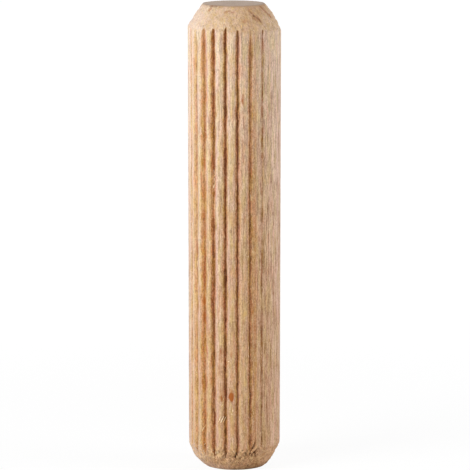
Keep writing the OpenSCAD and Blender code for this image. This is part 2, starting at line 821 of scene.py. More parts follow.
@dataclass
class PinBody:
    """The pin's visible surface: turned, bevelled, fluted and a little torn.

    Attributes:
        length: Length from end to end.
        rollers: The rollers that press its flutes.
        bevel_h: Height of each bevel.
        bevel_w: Width of each bevel.
        crowns: How far each end's bevel swells out from a straight cone.
        shrinkage: How much the dried wood has shrunk at each end, as a share of its radius.
        flat_rows: Rings of faces on each end's flat.
        last_ring: Size of the innermost ring before it closes, as a share of a row.
        bevel_rows: Rings of faces on each bevel.
        side_rows: Rings of faces along the side.
        across_flute: Where the columns of faces stand across half a flute, as shares of it.
        crest_step: Widest face on a crest.
        strip_step: Widest face on a smooth strip.
        strip_least: Narrowest stretch without a flute that counts as a smooth strip.
        crest_fall: How far the crests fall towards the flutes.
        crest_reach: How far from a flute its crest begins to fall.
        crest_overlap: How far into the flute it goes on falling.
        near_all: Distance from a flute's middle within which the wood wholly lies near it.
        near_none: Distance beyond which it doesn't; the middle of a crest lies near two flutes.
        flute_reach: Angle from a flute within which it can change the wood.
        flute_top: How far below the head the flutes have closed.
        closing: Height over which a flute closes there.
        narrowing: How much narrower a flute gets on its way there, as a share.
        narrow_from: How far below its end it begins to narrow.
        narrow_to: How far below its end it is at its narrowest.
        slow_drift: How far a flute wanders aside over a millimetre or two, in degrees.
        quick_drift: How far it wanders aside over half a millimetre, in degrees.
        ragged_edge: How ragged its edges are, as a share of its width.
        drift_reach: Angles from a flute at which the wood doesn't, and wholly does, wander too.
        uneven_depth: How uneven its depth is, as a share.
        uneven_stain: How uneven its brown is, as a share.
        dash_ends: Noise at which broken brown is gone, and at which it is whole.
        stain_edge: How far over a flute's bottom the turned wood lies where brown starts, and
            where it is whole.
        filled_clean: Share of the brown that is hidden where fibres fill a flute.
        lip_reach: How far from a flute's middle its lip reaches, in half widths of the flute.
        ragged_end: Unevenness of the heights at which the flutes close.
        cut_border: Unevenness of the line where a bevel meets the side.
        cut_edge: How far from that line cut grain starts and is whole; below 0 on the bevel.
        flat_edge: Width about each flat over which the torn grain fades.
        long_fibres: Raised fibres along the side.
        short_fibres: Shorter ones among them.
        hollows: Long shallow hollows along the side.
        smoother_crest: How much smoother than the rest the middle of a crest is.
        tufts: Torn grain on the bevels, from -1 to 1.
        lumps: Broad unevenness of the bevels.
        tuft_rise: How far the torn grain stands out at the head.
        foot_tuft_rise: How much farther it stands out at the foot.
        pit_depth: Depth of the pits torn between the tufts.
        pit_start: The tufts' unevenness at which a pit starts, and at which it is whole.
        pit_line: How far down each bevel, from the side, the pits lie thickest.
        pit_reach: How far from there they are gone, and how far they are all there.
        head_pits: Their strength at the head as a share of that at the foot.
        pit_shade: How dark their painted shade is, from 0 to 1.
        torn_lean: How far the torn grain on the bevels leans to the right at the front.
        scar_bed: Unevenness of a scar's bed, as a share of its depth.
        scar_level: Level of that bed, as a share of its depth.
        scar_darkness: Painted shade in a scar: how dark a very shallow one is, and how much darker
            each millimetre of depth makes it.
        scar_wander: How far the outlines of scars and patches wander.
        bruise_width: Width of the browned wood about a scar, as a share of the scar's width.
        flute_seed: Seed of what is uneven along the flutes.
        coarse_seed: Seed of the broad unevenness.
        fine_seed: Seed of the fibres and the torn grain.
        bed_seed: Seed of the scars' beds.
        wander_seed: Seed of the scars' wandering outlines.
        teeth: Wear of the rollers' teeth, by their numbers.
        scars: Pits and scratches.
        bridges: Where torn fibres fill a flute.
        resin: Amber patches where a ray comes to the surface.
        rubbed: Places where the pin is rubbed down, or swollen, by the strength in millimetres.
        skin: The finished surface, once it is built.
    """

    length: float
    rollers: FlutingRollers
    bevel_h: float = 2.1
    bevel_w: float = 1.35
    crowns: dict[End, float] = field(default_factory=lambda: {End.FOOT: 0.2, End.HEAD: 0.1})
    shrinkage: dict[End, float] = field(default_factory=lambda: {End.FOOT: 0.021, End.HEAD: 0.004})
    flat_rows: int = 7
    last_ring: float = 0.001
    bevel_rows: int = 34
    side_rows: int = 160
    across_flute: tuple[float, ...] = (0.085, 0.24, 0.42, 0.6, 0.8, 1.0)
    crest_step: float = 0.09
    strip_step: float = 0.11
    strip_least: float = 1.5
    crest_fall: float = 0.055
    crest_reach: float = 0.25
    crest_overlap: float = 0.04
    near_all: float = 0.42
    near_none: float = 0.78
    flute_reach: float = 13.0
    flute_top: float = 1.6
    closing: float = 0.35
    narrowing: float = 0.42
    narrow_from: float = 1.4
    narrow_to: float = 0.1
    slow_drift: float = 0.3
    quick_drift: float = 0.34
    ragged_edge: float = 0.2
    drift_reach: tuple[float, float] = (8.0, 4.0)
    uneven_depth: float = 0.13
    uneven_stain: float = 0.36
    dash_ends: tuple[float, float] = (-0.3, 0.35)
    stain_edge: tuple[float, float] = (-0.04, 0.04)
    filled_clean: float = 0.7
    lip_reach: float = 2.2
    ragged_end: Unevenness = Unevenness((0.4, 0.4, 0.4), 0.16, 2)
    cut_border: Unevenness = Unevenness((0.45, 0.45, 0.5), 0.2)
    cut_edge: tuple[float, float] = (0.12, -0.1)
    flat_edge: float = 0.12
    long_fibres: Unevenness = Unevenness((0.14, 0.14, 1.0), 0.02)
    short_fibres: Unevenness = Unevenness((0.12, 0.12, 0.34), 0.012, 2, 4.0)
    hollows: Unevenness = Unevenness((1.1, 1.1, 7.0), 0.02, 1)
    smoother_crest: float = 0.4
    tufts: Unevenness = Unevenness((0.15, 0.2, 0.42), shift=9.0)
    lumps: Unevenness = Unevenness((0.9, 0.9, 0.7), 0.04, shift=5.0)
    tuft_rise: float = 0.03
    foot_tuft_rise: float = 0.036
    pit_depth: float = 0.06
    pit_start: tuple[float, float] = (-0.36, -0.85)
    pit_line: float = 0.25
    pit_reach: tuple[float, float] = (1.8, 0.3)
    head_pits: float = 0.25
    pit_shade: float = 0.36
    torn_lean: float = 32.0
    scar_bed: Unevenness = Unevenness((0.16, 0.16, 0.16), 0.7, 2)
    scar_level: float = 0.8
    scar_darkness: tuple[float, float] = (0.2, 3.6)
    scar_wander: Unevenness = Unevenness((0.28, 0.28, 0.28), 0.06, 2)
    bruise_width: float = 1.9
    flute_seed: int = 11
    coarse_seed: int = 12
    fine_seed: int = 13
    bed_seed: int = 14
    wander_seed: int = 15
    teeth: dict[int, ToothWear] = field(
        default_factory=lambda: {
            -4: ToothWear(stain=0.3),
            -3: ToothWear(stain=0.25),
            -2: ToothWear(turn=-1.1, width=1.35, stain=0.34, spread=0.95, growth=0.4, short=0.45),
            -1: ToothWear(turn=-0.15, width=1.27, stain=0.74, spread=0.95, growth=0.3, short=0.1),
            0: ToothWear(turn=-0.05, width=1.13, stain=0.98, spread=0.65, growth=0.1, right=0.85),
            1: ToothWear(turn=0.92, stain=1.1, spread=0.48, right=0.85, short=-0.15),
            2: ToothWear(turn=0.62, width=1.16, stain=1.06, spread=0.5, right=0.9, short=0.15),
            3: ToothWear(width=1.4, stain=0.85, spread=0.5, growth=0.35, right=1.5, short=0.4),
            4: ToothWear(
                turn=-0.4, least_half=0.16, stain=0.9, spread=0.35, growth=0.5, broken=0.75
            ),
        }
    )
    scars: tuple[Scar, ...] = (
        Scar(24.2, 2.05, 27.0, 2.5, 0.11, 0.26),
        Scar(27.0, 1.68, 27.8, 1.76, 0.09, 0.2),
        Scar(40.2, 1.7, 41.2, 1.84, 0.08, 0.16),
        Scar(10.0, 1.86, 10.9, 1.98, 0.07, 0.12),
        Scar(2.1, 1.3, 2.3, 1.75, 0.09, 0.2),
        Scar(-4.0, 38.42, -0.8, 38.38, 0.07, 0.08, 0.2),
        Scar(-0.8, 38.38, 1.6, 38.2, 0.07, 0.1, 0.2),
        Scar(35.0, 38.0, 35.4, 38.4, 0.07, 0.08, 0.1),
        Scar(21.5, 39.8, 24.5, 39.6, 0.06, 0.04, 0.2),
        Scar(24.5, 39.6, 30.5, 39.2, 0.1, 0.12, 0.28),
        Scar(31.5, 39.15, 39.5, 38.65, 0.12, 0.12, 0.34),
        Scar(27.0, 39.1, 33.0, 38.7, 0.06, 0.03, 0.25),
        Scar(54.2, 39.83, 62.3, 39.22, 0.12, 0.02, 0.42),
        Scar(62.3, 39.22, 67.6, 38.86, 0.1, 0.08, 0.46),
        Scar(-17.0, 39.5, -9.0, 39.62, 0.06, 0.03, 0.35),
        Scar(36.8, 38.0, 36.7, 36.7, 0.05, 0.04, 0.3),
        Scar(36.7, 33.4, 36.6, 31.9, 0.05, 0.05, 0.4),
        Scar(36.7, 29.6, 36.6, 28.1, 0.05, 0.05, 0.4),
        Scar(36.5, 19.0, 36.3, 16.2, 0.05, 0.04, 0.3),
        Scar(36.2, 12.2, 36.1, 10.3, 0.05, 0.04, 0.3),
        Scar(36.1, 9.9, 36.3, 7.6, 0.05, 0.04, 0.35),
        Scar(36.4, 5.7, 36.0, 3.9, 0.07, 0.06, 0.3),
        Scar(36.0, 3.9, 37.4, 2.1, 0.08, 0.08, 0.2),
        Scar(-9.0, 39.62, -1.0, 39.45, 0.06, 0.03, 0.35),
        Scar(-47.0, 39.96, -34.0, 39.96, 0.12, 0.2, 0.2),
        Scar(-19.4, 4.4, -16.6, 5.0, 0.07, 0.06),
        Scar(-16.4, 4.4, -14.2, 4.95, 0.07, 0.06),
        Scar(-13.6, 4.3, -11.9, 4.8, 0.06, 0.06),
        Scar(-3.8, 5.3, -3.6, 6.2, 0.09, 0.05),
        Scar(-16.2, 6.05, -15.2, 5.85, 0.06, 0.06),
        Scar(20.5, 1.55, 24.5, 2.25, 0.07, 0.14),
        Scar(-12.1, 2.1, -12.5, 1.25, 0.09, 0.13),
        Scar(-11.4, 17.7, -10.0, 17.25, 0.07, 0.08),
        Scar(-10.9, 17.1, -11.5, 16.4, 0.09, 0.1),
        Scar(27.5, 1.8, 27.9, 1.64, 0.09, 0.24),
        Scar(28.4, 1.42, 28.9, 1.3, 0.07, 0.18),
        Scar(1.4, 1.55, 1.6, 1.35, 0.07, 0.16),
        Scar(21.2, 0.42, 22.4, 0.34, 0.08, 0.2),
        Scar(-20.1, 0.6, -14.5, 0.46, 0.05, 0.08),
        Scar(-13.5, 0.5, -9.0, 0.36, 0.05, 0.08),
        Scar(-4.5, 0.78, -2.8, 0.7, 0.06, 0.14),
        Scar(7.2, 1.35, 8.4, 1.15, 0.06, 0.14),
        Scar(32.0, 2.05, 34.0, 1.85, 0.06, 0.08),
        Scar(14.0, 1.75, 17.0, 1.4, 0.06, 0.1),
        Scar(-40.0, 1.9, -37.0, 1.5, 0.07, 0.1),
    )
    bridges: tuple[Patch, ...] = (
        Patch(-28.5, 25.4, 0.22, 0.5, 0.6),
        Patch(-26.5, 24.6, 0.22, 0.4, 0.5),
        Patch(-27.0, 23.2, 0.5, 1.5, 0.3),
        Patch(-55.0, 17.8, 0.3, 0.5, 0.5),
        Patch(-41.3, 15.2, 0.3, 0.6, 0.3),
    )
    resin: tuple[Patch, ...] = (
        Patch(-4.2, 6.6, 0.29, 0.46),
        Patch(-4.6, 7.15, 0.24, 0.45, 0.3),
        Patch(-15.8, 6.5, 0.34, 0.4, 0.46),
        Patch(-16.6, 7.0, 0.28, 0.4, 0.25),
        Patch(-4.2, 10.3, 0.2, 0.4, 0.35),
        Patch(-16.0, 10.6, 0.26, 0.4, 0.3),
        Patch(10.8, 32.2, 0.13, 0.7, 0.5),
        Patch(10.6, 30.9, 0.12, 0.6, 0.4),
        Patch(29.5, 39.0, 0.3, 0.3, 0.28),
        Patch(35.0, 38.75, 0.3, 0.22, 0.3),
        Patch(12.0, 38.8, 0.6, 0.24, 0.24),
        Patch(-9.0, 39.43, 0.6, 0.13, 0.2),
        Patch(-45.0, 39.7, 0.2, 0.3, 0.42),
        Patch(-12.0, 39.5, 0.2, 0.14, 0.22),
        Patch(67.0, 39.15, 0.12, 0.12, 0.4),
        Patch(-46.0, 1.7, 0.25, 0.5, 0.25),
        Patch(-40.0, 1.9, 0.2, 0.35, 0.25),
        Patch(11.5, 30.0, 0.12, 0.6, 0.3),
        Patch(23.4, 14.3, 0.22, 0.8, 0.28),
        Patch(24.0, 12.4, 0.3, 0.5, 0.35),
        Patch(-54.0, 14.2, 0.26, 0.7, 0.35),
        Patch(-41.0, 13.4, 0.26, 0.9, 0.4),
        Patch(-42.0, 14.9, 0.26, 0.7, 0.42),
        Patch(-56.0, 19.2, 0.2, 0.9, 0.3),
        Patch(-56.0, 27.5, 0.2, 1.0, 0.28),
        Patch(11.0, 27.4, 0.16, 1.2, 0.3),
    )
    rubbed: tuple[Patch, ...] = (
        Patch(88.0, 38.45, 3.2, 0.6, 0.12),
        Patch(88.0, 39.4, 3.0, 0.6, 0.06),
        Patch(85.0, 40.0, 3.0, 0.3, 0.05),
        Patch(-85.0, 40.0, 3.0, 0.35, -0.05),
        Patch(-88.0, 38.25, 3.0, 0.35, -0.05),
        Patch(-88.0, 38.62, 3.0, 0.25, 0.03),
        Patch(88.0, 38.05, 3.0, 0.25, 0.05),
        Patch(90.0, 1.2, 3.2, 0.9, 0.06),
        Patch(90.0, 1.15, 3.2, 0.3, 0.05),
        Patch(-90.0, 2.1, 3.0, 0.5, 0.005),
        Patch(-88.0, 1.3, 3.2, 0.5, 0.04),
        Patch(-85.0, 0.0, 3.4, 0.45, 0.11),
    )

    skin: Skin = field(init=False, repr=False)

    def columns(self) -> np.ndarray:
        """Lists the angles of the columns of vertices, closest together across the flutes.

        Returns:
            Angles in degrees, rising from just over -180.
        """
        flutes = self.rollers.flutes()
        mouth = math.degrees(self.rollers.mouth() / self.rollers.pin_r)
        spread = np.array([-s for s in reversed(self.across_flute)] + list(self.across_flute))
        angles: list[float] = []
        for flute, following in zip(flutes, flutes[1:] + flutes[:1]):
            share = flute.depth / self.rollers.flute_depth
            angles += list(flute.angle + spread * mouth * share)
            start = angles[-1]
            end = following.angle - mouth * following.depth / self.rollers.flute_depth
            gap = (end - start) % 360.0
            arc = math.radians(gap) * self.rollers.pin_r
            step = self.strip_step if arc > self.strip_least else self.crest_step
            parts = max(2, math.ceil(arc / step))
            angles += [start + gap * i / parts for i in range(1, parts)]
        return np.sort(turned_by(np.array(angles), 0.0))

    def blank(self, columns: int) -> bmesh.types.BMesh:
        """Turns the plain pin with its bevels, before its flutes are pressed.

        Args:
            columns: Number of columns of faces around it.

        Returns:
            The closed surface, in millimetres.
        """
        shape = bmesh.new()
        radius = self.rollers.pin_r
        flat_r = radius - self.bevel_w
        stops = (0.0, self.bevel_h, self.length - self.bevel_h, self.length)
        corners = [
            shape.verts.new((r, 0.0, z)) for r, z in zip((flat_r, radius, radius, flat_r), stops)
        ]
        for pair in zip(corners, corners[1:]):
            shape.edges.new(pair)
        bmesh.ops.spin(
            shape,
            geom=shape.verts[:] + shape.edges[:],
            cent=(0.0, 0.0, 0.0),
            axis=(0.0, 0.0, 1.0),
            angle=2 * math.pi,
            steps=columns,
            use_merge=True,
        )
        bmesh.ops.remove_doubles(shape, verts=shape.verts, dist=TOUCHING)
        rows = (self.bevel_rows, self.side_rows, self.bevel_rows)
        for low, high, count in zip(stops, stops[1:], rows):
            middle, half = (low + high) / 2, (high - low) / 2
            run = [
                edge
                for edge in shape.edges
                if all(abs(abs(vert.co.z - middle) - half) < TOUCHING for vert in edge.verts)
                and abs(edge.verts[0].co.z - edge.verts[1].co.z) > half
            ]
            bmesh.ops.subdivide_edges(shape, edges=run, cuts=count - 1, use_grid_fill=True)
        self.swell_bevels(shape)
        self.close_ends(shape)
        bmesh.ops.recalc_face_normals(shape, faces=shape.faces)
        shape.verts.sort(key=lambda vert: upwards(vert.co))
        shape.faces.sort(key=lambda face: upwards(face.calc_center_median()))
        return shape

    def swell_bevels(self, shape: bmesh.types.BMesh) -> None:
        """Moves the bevels out to their arcs.

        Args:
            shape: The pin with straight bevels.
        """
        slant = math.hypot(self.bevel_w, self.bevel_h)
        for vert in shape.verts:
            for end, crown in self.crowns.items():
                face = self.length if end is End.HEAD else 0.0
                inset = (face - vert.co.z) * end.value
                if 0.0 < inset < self.bevel_h:
                    along = 2.0 * inset / self.bevel_h - 1.0
                    rise = crown * (1.0 - along * along)
                    wider = 1.0 + rise * self.bevel_h / slant / vert.co.xy.length
                    vert.co.xy *= wider
                    vert.co.z += rise * self.bevel_w / slant * end.value

    def close_ends(self, shape: bmesh.types.BMesh) -> None:
        """Closes both flats with rings of faces that end in one middle point.

        Args:
            shape: The pin with both ends open.
        """
        for face in (0.0, self.length):
            rim = [
                edge
                for edge in shape.edges
                if edge.is_boundary and all(abs(v.co.z - face) < TOUCHING for v in edge.verts)
            ]
            for row in range(self.flat_rows - 1, -1, -1):
                made = bmesh.ops.extrude_edge_only(shape, edges=rim)["geom"]
                verts = [part for part in made if isinstance(part, bmesh.types.BMVert)]
                inwards = max(row, self.last_ring) / (row + 1)
                bmesh.ops.scale(shape, vec=Vector((inwards, inwards, 1.0)), verts=verts)
                rim = [
                    part
                    for part in made
                    if isinstance(part, bmesh.types.BMEdge) and part.is_boundary
                ]
            bmesh.ops.pointmerge(shape, verts=verts, merge_co=Vector((0.0, 0.0, face)))

    def build(self) -> bpy.types.Object:
        """Builds the finished surface.

        Returns:
            The pin's object.
        """
        columns = self.columns()
        shape = self.blank(len(columns))
        places = np.array([vert.co[:] for vert in shape.verts])
        turned = np.degrees(np.arctan2(places[:, 1], places[:, 0]))
        number = np.round(turned * len(columns) / 360.0).astype(int) % len(columns)
        skin = Skin(columns[number], places[:, 2], np.hypot(places[:, 0], places[:, 1]))
        self.skin = skin
        self.press_flutes(skin)
        self.weather(skin)
        self.mark(skin)
        for vert, place in zip(shape.verts, skin.places()):
            vert.co = place
        log.info("pin surface: %d columns, %d faces", len(columns), len(shape.faces))
        painted = {name: getattr(skin, name) for name in skin.PAINTED}
        return mesh_object("beech_pin", shape, painted)

    def press_flutes(self, skin: Skin) -> None:
        """Presses the flutes, with edges that wander a little along the pin.

        Args:
            skin: The surface, which is pressed in and browned.
        """
        rollers = self.rollers
        noise = WoodNoise(self.flute_seed)
        mouth = rollers.mouth()
        top = self.length - self.flute_top
        closing = skin.height + noise.layered(skin.places(), self.ragged_end)
        filled = np.max([skin.within(bridge) for bridge in self.bridges], axis=0)
        depth, drift = np.zeros((2, len(skin.radius)))
        for number, flute in enumerate(rollers.flutes()):
            wear = self.teeth.get(flute.tooth, ToothWear())
            share = flute.depth / rollers.flute_depth
            off = turned_by(skin.angle, flute.angle + wear.turn)
            near = np.abs(off) < self.flute_reach
            offs, heights = off[near], skin.height[near]
            left = offs < 0.0

            slow = noise.along(heights, Lane.SLOW_DRIFT, number) * self.slow_drift
            quick = noise.along(heights, Lane.QUICK_DRIFT, number) * self.quick_drift
            drift[near] += (slow + quick) * smooth_step(np.abs(offs), *self.drift_reach)
            edges = [noise.along(heights, Lane.EDGES, 2 * number + side) for side in (0, 1)]
            ragged = 1.0 + self.ragged_edge * np.where(left, *edges)
            across = np.radians(np.abs(offs) * ragged) * rollers.pin_r

            narrow = smooth_step(heights + wear.short, top - self.narrow_from, top - self.narrow_to)
            narrower = 1.0 - self.narrowing * narrow
            half = np.maximum(mouth * share * wear.width * narrower, wear.least_half)
            ends_at = top - self.closing - abs(wear.short)
            ended = smooth_step(closing[near] + wear.short, ends_at, top)
            fill = np.maximum(filled[near], ended)
            swell = 1.0 + self.uneven_depth * noise.along(heights, Lane.DEPTH, number)
            pressed = rollers.section(across * mouth / half) * share * swell * (1.0 - fill)
            pressed *= 1.0 - self.crest_fall / rollers.flute_depth
            fall = smooth_step(across, half + self.crest_reach, half - self.crest_overlap)
            fall *= self.crest_fall * min(1.0, 2.0 * share)
            depth[near] = np.maximum(depth[near], pressed + fall)

            out = across / half
            reach = np.where(left, 1.0, wear.right / wear.REACH)
            stain = smooth_step(out / reach, wear.REACH, wear.spread)
            uneven = self.uneven_stain * noise.along(heights, Lane.STAIN, number)
            stain *= wear.stain * (1.0 + uneven)
            stain *= 1.0 + wear.growth * (0.5 - heights / self.length)
            dashes = smooth_step(noise.along(heights, Lane.DASHES, number), *self.dash_ends)
            stain *= 1.0 - wear.broken * (1.0 - dashes)
            stain *= 1.0 - self.filled_clean * fill
            skin.stain[near] = np.maximum(skin.stain[near], stain)

            before, past = min(1.0, 1.6 * share), max(0.0, min(1.0, 3 * share - 1.5))
            lip = smooth_step(out, self.lip_reach, 1.0) * np.where(left, before, past)
            nearer = lip > np.abs(skin.lip[near])
            skin.lip[near] = np.where(nearer, -np.sign(offs) * lip, skin.lip[near])
            skin.crest[near] += smooth_step(across, self.near_none, self.near_all)
        skin.crest = np.clip(skin.crest - 1.0, 0.0, 1.0)
        skin.angle += drift
        bottom = rollers.pin_r - depth
        skin.stain *= smooth_step(skin.radius - bottom, *self.stain_edge)
        skin.radius = np.minimum(skin.radius, bottom)

    def weather(self, skin: Skin) -> None:
        """Raises the fibres along the side, and tears the grain that the bevels cut across.

        Args:
            skin: The pressed surface, which is roughened and dried.
        """
        radius = self.rollers.pin_r
        flat_r = radius - self.bevel_w
        coarse, fine = WoodNoise(self.coarse_seed), WoodNoise(self.fine_seed)
        round_side = Skin(skin.angle, skin.height, np.full_like(skin.radius, radius)).places()
        to_end = np.minimum(skin.height, self.length - skin.height) - self.bevel_h
        border = to_end + coarse.layered(round_side, self.cut_border)
        skin.cut = smooth_step(border, *self.cut_edge)
        flat = smooth_step(skin.radius, flat_r + self.flat_edge, flat_r)

        fibres = fine.layered(round_side, self.long_fibres)
        fibres += fine.layered(round_side, self.short_fibres)
        fibres *= 1.0 - self.smoother_crest * skin.crest
        lean = Matrix.Rotation(math.radians(self.torn_lean), 3, "Y")
        tufts = fine.layered(round_side @ np.array(lean), self.tufts)
        worn = smooth_step(skin.height, self.length, 0.0)
        near_side = smooth_step(np.abs(to_end + self.pit_line), *self.pit_reach)
        deeper = self.head_pits + (1.0 - self.head_pits) * worn
        pits = smooth_step(tufts, *self.pit_start) * near_side * deeper
        torn = tufts * (self.tuft_rise + self.foot_tuft_rise * worn) - pits * self.pit_depth
        torn += coarse.layered(round_side, self.lumps)
        fibres += coarse.layered(round_side, self.hollows)
        relief = fibres * (1.0 - skin.cut) + torn * skin.cut
        skin.radius = np.clip(skin.radius + relief * (1.0 - flat), 0.0, radius)
        # Painted shade in the torn pits.
        skin.scarred = pits * skin.cut * self.pit_shade

        to_rim = np.minimum(skin.radius / flat_r, 1.0) ** 2
        for patch in self.rubbed:
            skin.radius -= skin.within(patch) * to_rim
        share = skin.height / self.length
        dried = self.shrinkage[End.FOOT] * (1.0 - share) + self.shrinkage[End.HEAD] * share
        skin.radius *= 1.0 - dried

    def mark(self, skin: Skin) -> None:
        """Cuts the scars, paints shade into them, and colours the resin patches.

        Args:
            skin: The weathered surface, which is marked.
        """
        places = skin.places()
        rough = WoodNoise(self.bed_seed).layered(places, self.scar_bed)
        wander = WoodNoise(self.wander_seed).layered(places, self.scar_wander)
        turn = np.degrees(wander / self.rollers.pin_r)
        bent = Skin(skin.angle + turn, skin.height + wander, skin.radius)
        faint, darker = self.scar_darkness
        for scar in self.scars:
            inside = bent.inside(scar) * np.clip(self.scar_level + rough, 0.0, 1.0)
            skin.radius = np.maximum(skin.radius - scar.depth * inside, 0.0)
            # Painted shade in the scar, darker the deeper it is.
            scar_shade = inside * min(1.0, faint + darker * scar.depth)
            skin.scarred = np.maximum(skin.scarred, scar_shade)
            if scar.bruise:
                beside = scar.bruise * bent.inside(scar, self.bruise_width)
                skin.amber = np.maximum(skin.amber, beside)
        for patch in self.resin:
            skin.amber = np.maximum(skin.amber, bent.within(patch))


@dataclass(frozen=True)
class Fibre:
    """A loose fibre that lies on the pin with its root in the wood.

    Attributes:
        angle: Where its root lies about the pin.
        height: Height of its root.
        length: Length of the fibre.
        lean: Direction in which it runs, in degrees from straight up towards the right.
        lift: How far its tip stands off the wood.
        half_width: Half its width at the root.
        curl: How far its tip bends aside.
    """

    angle: float
    height: float
    length: float
    lean: float
    lift: float = 0.05
    half_width: float = 0.04
    curl: float = 0.0


@dataclass(frozen=True)
class Fringe:
    """A band around the pin with loose fibres scattered over it.

    Attributes:
        middle: Height of its middle.
        half_height: Half its height.
        count: Number of fibres.
        lean: Widest angle between a fibre and the pin's axis.
        length: Mean length of a fibre.
        reach: Farthest angle from a flute's middle, with the whole way around at 180.
    """

    middle: float
    half_height: float
    count: int
    lean: float
    length: float
    reach: float = 180.0


@dataclass
class LooseFibres:
    """Fibres torn loose by the flutes' edges and where the bevels cut the grain.

    Attributes:
        pin: The pin, with its surface finished.
        single: Fibres with a place of their own.
        fringes: Bands with scattered fibres.
        sides: Sides of a fibre.
        cuts: Cuts along a fibre at which it can bend.
        thickness: Thickness of a fibre as a share of its width.
        tip: Width of its tip as a share of its root's.
        sunk: How deep its root lies in the wood, as a share of half its width.
        end_gap: How far the fibres stay from both flats.
        search_height: Height above and below a place within which its wood is looked for.
        lengths: Shortest and longest scattered fibre, as shares of its fringe's length.
        lifts: Least and greatest distance of their tips from the wood.
        half_widths: Half the width of the narrowest and the widest of them.
        curls: How far their tips bend aside at the most, as shares of their length.
        seed: Picks where the scattered ones lie.
    """

    pin: PinBody
    single: tuple[Fibre, ...] = (
        Fibre(-20.6, 4.4, 0.64, 26.0, 0.08, 0.07),
        Fibre(-17.6, 4.36, 0.64, 26.0, 0.1, 0.075),
        Fibre(-15.0, 4.36, 0.6, 28.0, 0.1, 0.07),
        Fibre(-5.7, 5.2, 0.9, 2.0, 0.05, 0.055, 0.05),
        Fibre(-2.0, 5.25, 0.8, -6.0, 0.05, 0.05, -0.05),
        Fibre(-5.6, 5.16, 0.27, 96.0, 0.02, 0.05),
        Fibre(-17.0, 5.75, 0.3, 40.0, 0.06, 0.06),
        Fibre(-46.3, 3.4, 0.75, 26.0, 0.1, 0.06, 0.08),
        Fibre(-27.6, 1.3, 0.62, 24.0, 0.1, 0.065),
        Fibre(-24.6, 1.35, 0.55, 30.0, 0.1, 0.06),
        Fibre(-31.0, 1.35, 0.5, 12.0, 0.1, 0.06),
        Fibre(-21.0, 1.6, 0.4, -20.0, 0.08, 0.05),
        Fibre(19.0, 1.5, 0.6, 32.0, 0.08, 0.05, 0.1),
        Fibre(26.0, 1.75, 0.6, 28.0, 0.08, 0.05, -0.08),
        Fibre(30.5, 1.6, 0.4, 150.0, 0.06, 0.045, 0.08),
        Fibre(35.0, 2.1, 0.4, 140.0, 0.06, 0.045),
        Fibre(8.0, 1.3, 0.5, -30.0, 0.1, 0.05),
        Fibre(-29.5, 1.5, 0.4, -30.0, 0.06),
        Fibre(-28.4, 26.2, 0.8, 168.0, 0.04, 0.05, 0.06),
        Fibre(-26.2, 25.7, 0.7, 190.0, 0.05, 0.045, -0.06),
        Fibre(-27.6, 24.6, 0.7, 12.0, 0.06, 0.045, 0.1),
        Fibre(-55.6, 17.4, 0.8, 8.0, 0.05, 0.05, 0.06),
        Fibre(-53.8, 18.2, 0.6, 186.0, 0.05, 0.045),
        Fibre(-16.4, 38.5, 0.4, 160.0, 0.06, 0.05),
        Fibre(10.2, 38.6, 0.45, 200.0, 0.06, 0.05),
        Fibre(-8.2, 9.7, 0.16, 90.0, 0.05, 0.05),
    )
    fringes: tuple[Fringe, ...] = (
        Fringe(1.85, 0.75, 130, 60.0, 0.34),
        Fringe(38.2, 0.5, 60, 50.0, 0.28),
        Fringe(20.0, 17.5, 120, 12.0, 0.45, 4.5),
    )
    sides: int = 5
    cuts: int = 3
    thickness: float = 0.55
    tip: float = 0.2
    sunk: float = 0.4
    end_gap: float = 0.15
    search_height: float = 0.2
    lengths: tuple[float, float] = (0.5, 1.5)
    lifts: tuple[float, float] = (0.01, 0.07)
    half_widths: tuple[float, float] = (0.02, 0.04)
    curls: tuple[float, float] = (-0.3, 0.3)
    seed: int = 21

    def scattered(self) -> list[Fibre]:
        """Scatters the fibres of the fringes.

        Returns:
            The fibres.
        """
        draw = np.random.default_rng(self.seed)
        flutes = self.pin.rollers.flutes()
        found = []
        for fringe in self.fringes:
            for _ in range(fringe.count):
                length = fringe.length * draw.uniform(*self.lengths)
                around = draw.uniform(-180.0, 180.0)
                if fringe.reach < 180.0:
                    flute = flutes[draw.integers(len(flutes))]
                    around = flute.angle + fringe.reach * draw.uniform(-1.0, 1.0)
                found.append(
                    Fibre(
                        angle=around,
                        height=fringe.middle + fringe.half_height * draw.uniform(-1.0, 1.0),
                        length=length,
                        lean=draw.uniform(-fringe.lean, fringe.lean) + draw.choice((0.0, 180.0)),
                        lift=draw.uniform(*self.lifts),
                        half_width=draw.uniform(*self.half_widths),
                        curl=draw.uniform(*self.curls) * length,
                    )
                )
        return found

    def radius_at(self, angle: float, height: float) -> float:
        """Finds how far from the axis the wood lies at one place.

        Args:
            angle: Angle of the place about the pin.
            height: Height of the place.

        Returns:
            The distance from the axis.
        """
        skin = self.pin.skin
        near = np.abs(skin.height - height) < self.search_height
        arc = np.radians(turned_by(skin.angle[near], angle)) * skin.radius[near]
        nearest = np.argmin(np.hypot(arc, skin.height[near] - height))
        return float(skin.radius[near][nearest])

    def straight(self) -> bpy.types.Mesh:
        """Makes a straight fibre, one unit long and with a root one unit in radius.

        Returns:
            The fibre, tapering upwards.
        """
        shape = bmesh.new()
        bmesh.ops.create_cone(
            shape, cap_ends=True, segments=self.sides, radius1=1.0, radius2=self.tip, depth=1.0
        )
        sloping = [e for e in shape.edges if abs(e.verts[0].co.z - e.verts[1].co.z) > 0.5]
        bmesh.ops.subdivide_edges(shape, edges=sloping, cuts=self.cuts, use_grid_fill=True)
        mesh = bpy.data.meshes.new("straight_fibre")
        shape.to_mesh(mesh)
        shape.free()
        return mesh

